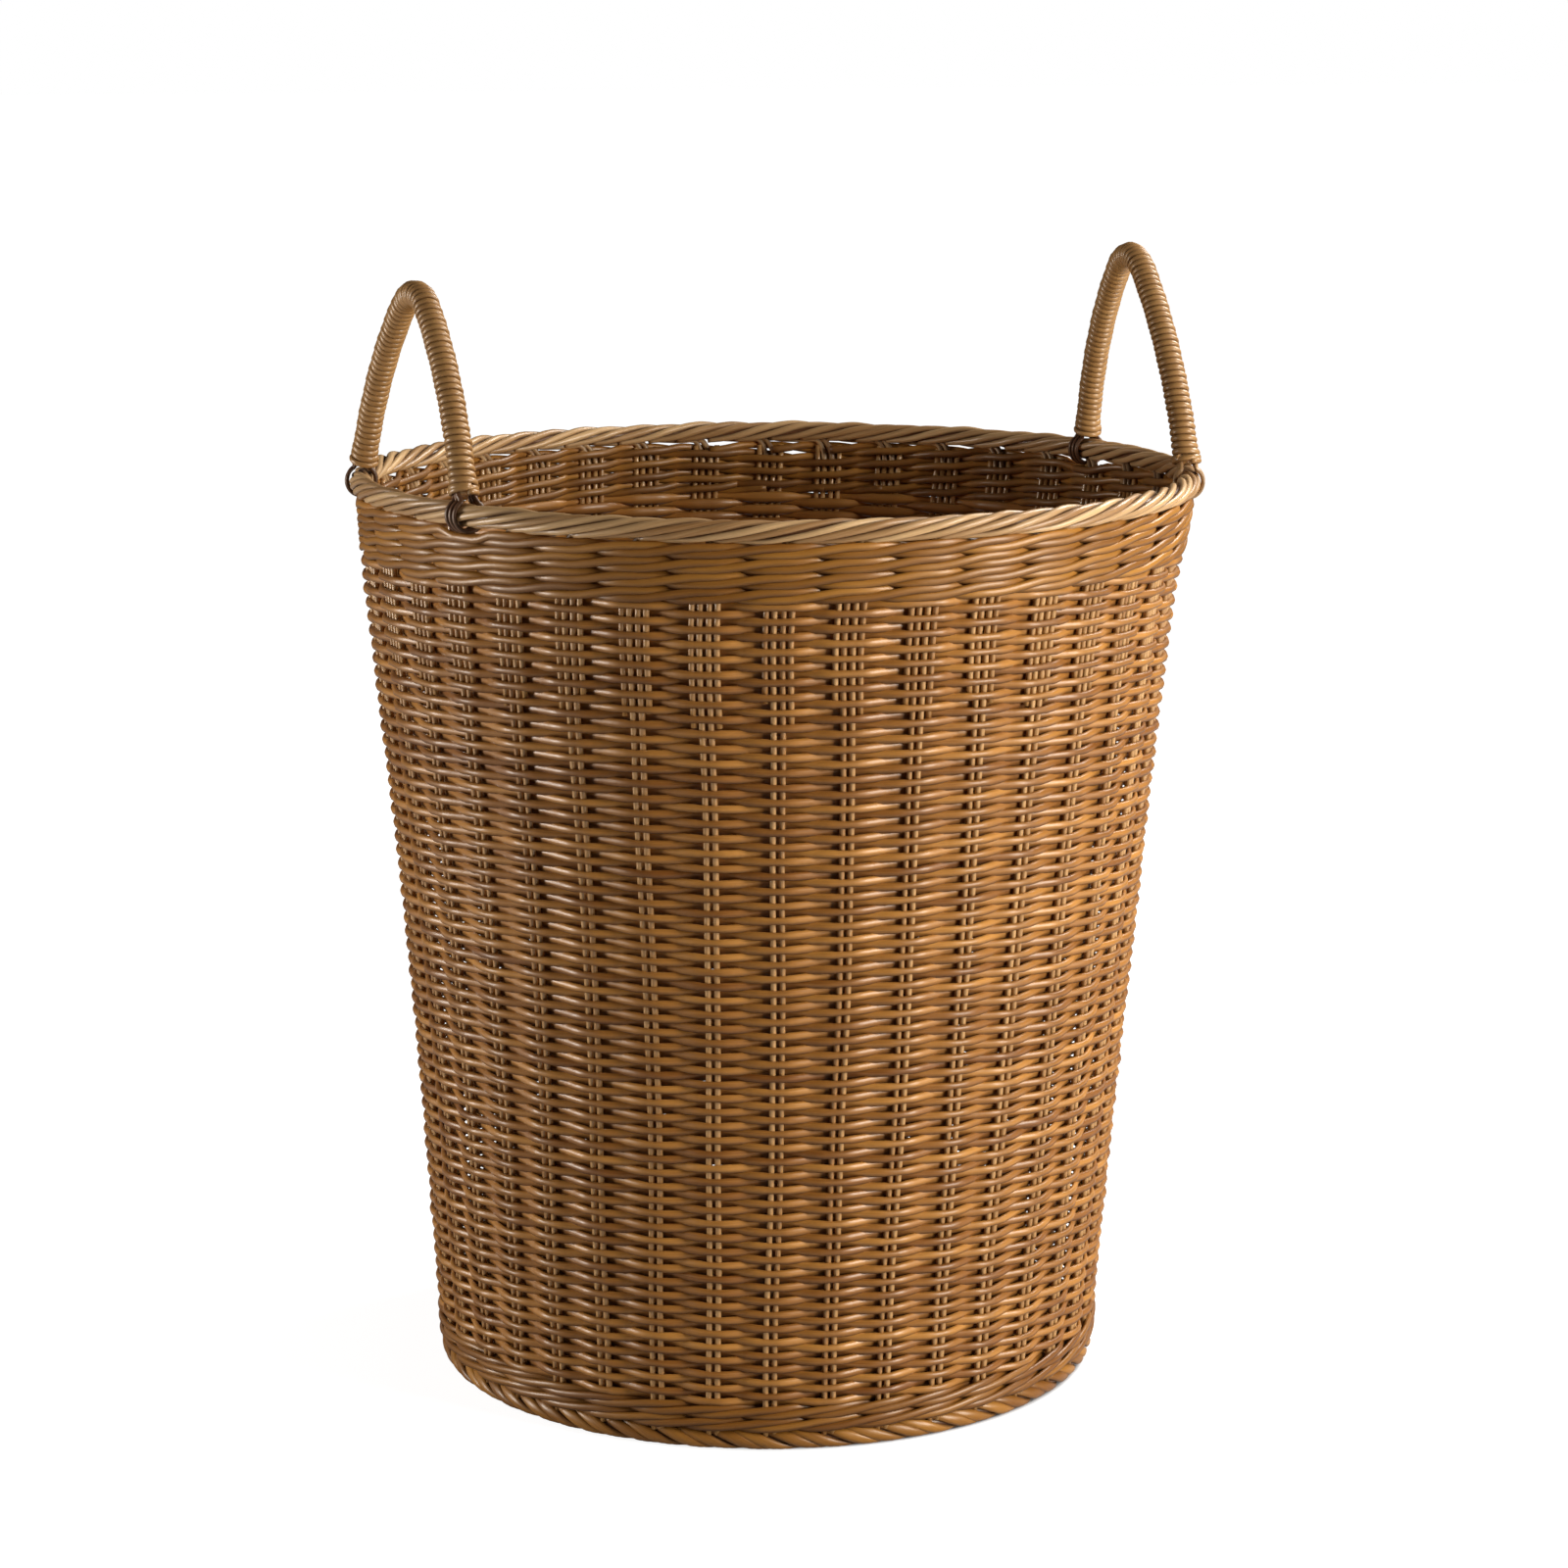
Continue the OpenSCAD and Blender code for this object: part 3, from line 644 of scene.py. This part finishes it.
def base_sticks(lower):
    """Seven sticks side by side across the middle, spread like rays beyond it."""
    side = -1 if lower else 1
    lines = []
    for n in range(-(STICKS // 2), STICKS // 2 + 1):
        ray = n * TURN / RAYS
        outer = [(x, n * STICK_PITCH, side * STICK_PITCH / 2) for x in (CROSS_R * 0.4, CROSS_R)]
        outer += [(r * math.cos(ray), r * math.sin(ray), 0) for r in (FAN_R, 0.6 * BASE_R, BASE_R)]
        lines.append([(-x, y, z) for x, y, z in reversed(outer)] + outer)
    points = np.array(lines)
    points[..., 2] += BASE_Z
    if not lower:
        points = np.stack([-points[..., 1], points[..., 0], points[..., 2]], -1)
    return Canes(8).add(bent(points, 60), BASE_STICK_R, UP, shaded_side="none")


def base_weave():
    """Rounds of cane over and under the rays, and a few round the crossed sticks."""
    canes = Canes(8)
    half = BASE_CANE_HALF
    for k in range(int((BASE_R - FAN_R) / BASE_PITCH)):
        r = BASE_R - BASE_EDGE - k * BASE_PITCH
        u = np.linspace(END_GAP, RAYS - END_GAP, RAYS * 7 + 1)
        g = np.floor(u).astype(int)
        q = BASE_STICK_R / (r * TURN / RAYS)
        s = np.clip((u - g - q) / (1 - 2 * q), 0, 1)
        over = np.where((g + k) % 2 == 0, 1, -1) * np.cos(np.pi * s)
        z = BASE_Z + over * (BASE_THICK * half + BASE_STICK_R)
        line = spin(r + rng.normal(0, BASE_UNEVEN, 1), u * TURN / RAYS, z)[None]
        canes.add(line, BASE_THICK * half, UP, BASE_WIDE * half)
    for k in range(BIND_ROUNDS):
        r = CROSS_R + BIND_EDGE + k * BIND_PITCH
        angle = np.linspace(0, TURN, 97)[:-1]
        z = BASE_Z + (1 if k % 2 else -1) * BIND_SWING * np.clip(2.2 * np.cos(2 * angle), -1, 1)
        line = spin(r * (1 + 0.10 * np.cos(4 * angle + math.pi)), angle, z)[None]
        canes.add(line, half, UP, closed=True)
    return canes


# ---------------------------------------------------------------- handles
WINDING_THICK, WINDING_WIDE, WINDING_TILT = 0.00122, 0.00182, 0.30    # half sizes, and radians
WINDING_WAVES = ((0.00012, 900, 0), (0.00010, 2100, 1))    # how uneven it is: size, waves, start
FLARE, FLARE_RUN = 0.0011, 0.0035      # it swells over the loops at each end
TIE_START, TIE_TURNS, TIE_R, TIE_THICK, TIE_WIDE, TIE_TILT = 0.0006, 1.35, 0.0067, 0.00120, 0.0015, 0.2
LOOP_THICK, LOOP_WIDE = 0.00105, 0.00142
LOOP_TURN = (58, -238)                 # a loop's ends round the border, in degrees
RISE_UP = np.array([0.0104, 0.0135, 0.0170])       # from there they rise beside the leg: the height,
RISE_OUT = np.array([0.0042, 0.0037, 0.0032])      # how far out from the leg's middle
RISE_APART = np.array([0.0024, 0.0021, 0.0018])    # and how far from loop to loop
HUB_DROP = 0.006                       # a loop's ends face a line this far below them
TILT_EASE = 0.02                       # a winding's tilt turns over within this of the crown's middle


def columns(at, places, values):
    """Both columns of values, read off at new places."""
    return np.stack([np.interp(at, places, values[:, 0]), np.interp(at, places, values[:, 1])], -1)


def handle_line(side, count=400):
    """The handle's middle line, flat: y along the hinge, height above it, at even steps, from the
    back foot over the crown to the front foot; the way out of its bend at each point; its length."""
    crown = np.array([0, HANDLE_H[side] - CROWN_R])
    foot = np.array([FOOT_Y, 0])
    span = np.linalg.norm(foot - crown)
    along = (LEG_R ** 2 - (LEG_R - CROWN_R) ** 2 + span ** 2) / (2 * span)
    toward = (crown - foot) / span
    leg = foot + along * toward + math.sqrt(LEG_R ** 2 - along ** 2) * np.array([-toward[1], toward[0]])
    join = math.atan2(crown[1] - leg[1], crown[0] - leg[0])
    low = math.asin((LEG_END_UP - leg[1]) / LEG_R)
    a = np.concatenate([np.linspace(low, join, 200), np.linspace(join, math.pi - join, 200)[1:],
                        np.linspace(math.pi - join, math.pi - low, 200)[1:]])
    right, left = a < join + 1e-9, a > math.pi - join - 1e-9
    centre = np.where(right[:, None], leg, np.where(left[:, None], leg * [-1, 1], crown))
    radius = np.where(right | left, LEG_R, CROWN_R)
    out = np.stack([np.cos(a), np.sin(a)], -1)
    points = centre + radius[:, None] * out
    walked = np.concatenate([[0], np.cumsum(np.linalg.norm(np.diff(points, axis=0), axis=1))])
    even = np.linspace(0, walked[-1], count)
    return columns(even, walked, points), unit(columns(even, walked, out)), walked[-1]


def stand(side, local, way=False):
    """Turns places by a handle (across it, along its hinge, up from its hinge) into places in the
    room, or, with way, turns directions."""
    lean, turn = -side * HANDLE_LEAN, -side * HANDLE_TURN
    across, along, up = np.moveaxis(np.asarray(local, float), -1, 0)
    x = across * math.cos(lean) + up * math.sin(lean) + (0 if way else side * PIVOT_X)
    z = up * math.cos(lean) - across * math.sin(lean) + (0 if way else RIM_Z)
    return np.stack([x * math.cos(turn) - along * math.sin(turn),
                     x * math.sin(turn) + along * math.cos(turn), z], -1)


def upright(flat):
    """Flat handle places as places across, along and up, in the handle's own plane."""
    return np.concatenate([0 * flat[..., :1], flat], -1)


def handle_core(side):
    flat, out, _ = handle_line(side, 120)
    line, away = stand(side, upright(flat))[None], stand(side, upright(out), True)[None]
    return Canes(12).add(line, CORE_R, away, shaded_side="none")


def wound(side, first, last, turns, ride, half, wide, tilt, far_end=False, steps=18):
    """A cane wound round a handle from one place along it to another, in metres from the back foot,
    or with far_end from the front one. ride is its distance from the core's middle, and tilt stands
    its lower edge out."""
    flat, out, length = handle_line(side, 1500)
    if far_end:
        first, last = length - first, length - last
    at = np.linspace(first, last, int(turns * steps))
    walked = np.linspace(0, length, len(flat))
    centre, bend = upright(columns(at, walked, flat)), upright(unit(columns(at, walked, out)))
    onward = np.stack([0 * at, -bend[:, 2], bend[:, 1]], -1)
    phase = np.linspace(0, TURN * turns, len(at))[:, None]
    away = np.cos(phase) * bend + np.sin(phase) * np.array([1.0, 0, 0])
    ride = ride(at) if callable(ride) else ride
    lean = tilt * np.clip((length / 2 - at) / TILT_EASE, -1, 1)[:, None]
    face = np.cos(lean) * away + np.sin(lean) * onward
    line = stand(side, centre + np.reshape(ride, (-1, 1)) * away)[None]
    return Canes(10).add(line, half, stand(side, face, True)[None], wide, tone=0.5)


def handle_winding(side):
    """One long cane wound round the core from foot to foot, over the loops' ends at both."""
    first, last = WINDING_END, handle_line(side)[2] - WINDING_END

    def ride(at):
        flare = FLARE * (np.exp(-(at - first) / FLARE_RUN) + np.exp(-(last - at) / FLARE_RUN))
        return sum((size * np.sin(at * waves + start) for size, waves, start in WINDING_WAVES),
                   WINDING_R + flare)

    return wound(side, first, last, (last - first) / WINDING_PITCH, ride, WINDING_THICK, WINDING_WIDE,
                 WINDING_TILT)


def foot_tie(side, end):
    """The winding's last turns at a foot, which stand out over the loops."""
    return wound(side, TIE_START, WINDING_END, TIE_TURNS, TIE_R, TIE_THICK, TIE_WIDE, TIE_TILT,
                 far_end=end > 0)


def foot_loops(side, end):
    """Three canes that come out of a handle's winding side by side, hold the rim border and go
    back in; end is 1 at the front and -1 at the back."""
    flat = handle_line(side)[0]
    leg_y, leg_z = abs(flat[-1, 0]), flat[-1, 1]
    lean = (abs(flat[-8, 0]) - leg_y) / (flat[-8, 1] - leg_z)
    t = np.radians(np.linspace(*LOOP_TURN, 34))
    lines, hubs = [], []
    for k in (-1, 0, 1):
        middle = -side * k * LOOP_PITCH * math.tan(SKEW)          # the border runs askew to the hinge
        beside = np.full(len(t), FOOT_Y + k * LOOP_PITCH)
        ring = np.stack([middle + LOOP_R * np.cos(t), beside, LOOP_R * np.sin(t)], -1)
        rise = np.stack([RISE_OUT, leg_y + lean * (RISE_UP - leg_z) + k * RISE_APART, RISE_UP], -1)
        lines.append(np.concatenate([rise[::-1], ring, rise * [-1, 1, 1]]))
        hubs.append(middle)
    line = bent(np.array(lines), 90)
    hub = line * [0, 1, 0]
    hub[..., 0] = np.array(hubs)[:, None]
    hub[..., 2] = np.clip(line[..., 2] - HUB_DROP, 0, None)
    flip = [1, -end, 1]
    away = stand(side, unit(line - hub) * flip, True)
    return Canes(10).add(stand(side, line * flip), LOOP_THICK, away, LOOP_WIDE)


# ---------------------------------------------------------------- the pieces
def piece(canes, name, finish, body, *nodes):
    """Makes the canes into a piece that rides on a body and stands for these nodes."""
    if body == "basket":
        for verts, *_ in canes.batches:
            aside = sum(far * smooth((below - verts[..., 2]) / within) for far, below, within in LEANS)
            verts[..., 0] += aside * LEAN_WAY[0]
            verts[..., 1] += aside * LEAN_WAY[1]
    ob = canes.mesh(name)
    ob.data.materials.append(FINISH[finish])
    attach(ob, body)
    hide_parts(*nodes)


for band in range(BANDS):
    piece(plain_weave(band), f"weave_band_{band + 1}", "weave_cane", "basket", f"side_weave_{band + 1}")
piece(wale(TOP_WALE_Z, TOP_WALE_ROUNDS, TOP_WALE_H, TOP_WALE_HALF), "top_wale_rods", "wale_cane",
      "basket", "top_wale")
piece(wale(FOOT_WALE_Z, FOOT_WALE_ROUNDS, FOOT_WALE_H, FOOT_WALE_HALF), "foot_wale_rods", "wale_cane",
      "basket", "foot_wale")
piece(stakes([-PAIR_AT, PAIR_AT], np.full((GROUPS, 2), STAKE_FOOT), STAKE_END), "stake_canes",
      "stake_cane", "basket", "side_stakes")
piece(stakes([-BYE_AT, BYE_AT], bye_foot, BYE_END, 10), "bye_stake_canes", "stake_cane", "basket",
      "bye_stakes")
piece(rope_border(RIM_R, RIM_Z, 1, RIM_STRAND, 0.5, slip=0.48, lead=rim_lead, samples=64),
      "rim_border_strands", "border_cane", "basket", "rim_border")
# the core is coloured dark as painted shade for the gaps between the strands
piece(hoop(RIM_R, RIM_Z, RIM_CORE_R), "rim_core", "dark_cane", "basket", "rim_hoop")
piece(rope_border(FOOT_BORDER_R, FOOT_BORDER_Z, -1, FOOT_STRAND, 0.42, loose=0.35, pressed=1.18,
                  flat=FOOT_FLAT),
      "foot_border_strands", "wale_cane", "basket", "foot_border")
# the core is coloured dark as painted shade for the gaps between the strands
piece(hoop(FOOT_BORDER_R, FOOT_BORDER_Z, FOOT_CORE_R), "foot_core", "dark_cane", "basket", "foot_hoop")
piece(base_sticks(True), "base_sticks_below", "stake_cane", "basket", "base_sticks_lower")
piece(base_sticks(False), "base_sticks_above", "stake_cane", "basket", "base_sticks_upper")
piece(base_weave(), "base_weave_canes", "weave_cane", "basket", "base_weave_lower", "base_weave_upper")
for hand, side in (("left", -1), ("right", 1)):
    body = hand + "_handle"
    piece(handle_core(side), hand + "_core", "stake_cane", body, body + "_core")
    piece(handle_winding(side), hand + "_winding", "handle_cane", body, body + "_winding")
    for where, end in (("front", 1), ("back", -1)):
        loop_cane = "border_cane" if (side, end) == (1, 1) else "dark_cane"
        piece(foot_loops(side, end), f"{hand}_{where}_loops", loop_cane, body, f"{hand}_{where}_rings")
        piece(foot_tie(side, end), f"{hand}_{where}_tie", "handle_cane", body,
              f"{hand}_{where}_binding")

# ---------------------------------------------------------------- studio
FLOOR_REACH = 30.0
FLOOR_DROP = 0.0002                    # the floor lies this far below the foot
GLOW_NEAR, GLOW_FAR = (0.2, 0.88), (1.4, 1.0)      # how white the floor shows: distance, strength
AMBIENT = 0.052


def studio_floor():
    """A pale floor that keeps the basket's shadow and shows white, except under the basket."""
    me = bpy.data.meshes.new("studio_floor")
    corners = [(x * FLOOR_REACH, y * FLOOR_REACH, 0) for x, y in ((-1, -1), (1, -1), (1, 1), (-1, 1))]
    me.from_pydata(corners, [], [(0, 1, 2, 3)])
    made = bpy.data.materials.new("white floor")
    made.use_nodes = True
    nodes, links = made.node_tree.nodes, made.node_tree.links
    shader = nodes["Principled BSDF"]
    for key, value in (("Base Color", (0.50, 0.50, 0.50, 1)), ("Roughness", 0.9),
                       ("Specular IOR Level", 0.1), ("Emission Color", (1, 1, 1, 1))):
        shader.inputs[key].default_value = value
    distance = shader_node(nodes, "VectorMath", operation="LENGTH")
    links.new(shader_node(nodes, "NewGeometry").outputs["Position"], distance.inputs[0])

    def ramp(near, far):
        """A value that goes from one distance to another, each given with its value."""
        made = shader_node(nodes, "MapRange")
        for end, (at, value) in (("Min", near), ("Max", far)):
            made.inputs["From " + end].default_value = at
            made.inputs["To " + end].default_value = value
        links.new(distance.outputs["Value"], made.inputs["Value"])
        return made.outputs["Result"]

    def product(first, second):
        made = shader_node(nodes, "Math", operation="MULTIPLY")
        links.new(first, made.inputs[0])
        links.new(second, made.inputs[1])
        return made.outputs[0]

    white = ramp(GLOW_NEAR, GLOW_FAR)
    uncovered = ramp((FOOT_BORDER_R - 0.003, 0.0), (FOOT_BORDER_R + 0.001, 1.0))
    seen = shader_node(nodes, "LightPath").outputs["Is Camera Ray"]
    links.new(product(seen, product(white, uncovered)), shader.inputs["Emission Strength"])
    me.materials.append(made)
    ob = bpy.data.objects.new("studio_floor", me)
    ob.location.z = -FLOOR_DROP
    bpy.context.scene.collection.objects.link(ob)


def studio_world():
    """A white backdrop that lights the basket only a little."""
    world = bpy.data.worlds.new("studio")
    world.use_nodes = True
    nodes, links = world.node_tree.nodes, world.node_tree.links
    seen = shader_node(nodes, "LightPath")
    shown = shader_node(nodes, "Math", operation="MAXIMUM")
    links.new(seen.outputs["Is Camera Ray"], shown.inputs[0])
    links.new(seen.outputs["Is Transmission Ray"], shown.inputs[1])
    strength = shader_node(nodes, "Mix")
    for at, value in zip(MIX_NUMBERS, (AMBIENT, 1.0)):
        strength.inputs[at].default_value = value
    links.new(shown.outputs[0], strength.inputs[MIX_FACTOR])
    back = nodes["Background"]
    back.inputs["Color"].default_value = (1, 1, 1, 1)
    links.new(strength.outputs[MIXED_NUMBER], back.inputs["Strength"])
    bpy.context.scene.world = world


def softbox(name, azimuth, height, distance, size, power, colour, aim=0.28):
    """An area lamp that points at the basket's middle, at the height aim: azimuth 0 is in front,
    90 at +X."""
    lamp = bpy.data.lights.new(name, "AREA")
    lamp.shape, lamp.size, lamp.size_y = "RECTANGLE", *size
    lamp.energy, lamp.color = power, colour
    ob = bpy.data.objects.new(name, lamp)
    a = math.radians(azimuth)
    ob.location = (math.sin(a) * distance, -math.cos(a) * distance, height)
    ob.rotation_euler = (Vector((0, 0, aim)) - ob.location).to_track_quat("-Z", "Y").to_euler()
    bpy.context.scene.collection.objects.link(ob)


def camera(azimuth, down, distance, height, aside, lens):
    """A camera in front of the basket that looks down at it, moved aside without turning."""
    cam = bpy.data.cameras.new("front camera")
    cam.sensor_width, cam.lens = 36.0, lens
    cam.clip_start, cam.clip_end = 0.05, 100
    ob = bpy.data.objects.new("front camera", cam)
    a, pitch = math.radians(azimuth), math.radians(down)
    ob.location = (distance * math.sin(a) + aside * math.cos(a),
                   aside * math.sin(a) - distance * math.cos(a), height)
    ahead = Vector((-math.sin(a) * math.cos(pitch), math.cos(a) * math.cos(pitch), -math.sin(pitch)))
    ob.rotation_euler = ahead.to_track_quat("-Z", "Y").to_euler()
    bpy.context.scene.collection.objects.link(ob)
    bpy.context.scene.camera = ob


studio_floor()
studio_world()
softbox("right softbox", azimuth=40, height=0.80, distance=1.9, size=(0.7, 1.25), power=45,
        colour=(1.0, 0.98, 0.95))
softbox("left softbox", azimuth=-104, height=0.42, distance=1.9, size=(0.5, 0.9), power=23,
        colour=(1.0, 0.99, 0.98))
softbox("high softbox", azimuth=104, height=1.6, distance=1.6, size=(0.8, 0.8), power=31,
        colour=(1.0, 0.99, 0.97))
camera(azimuth=-20.05, down=11.41, distance=2.048, height=0.726, aside=0.0048, lens=88.73)
bpy.context.scene.view_settings.view_transform = "Standard"

bpy.context.view_layer.update()
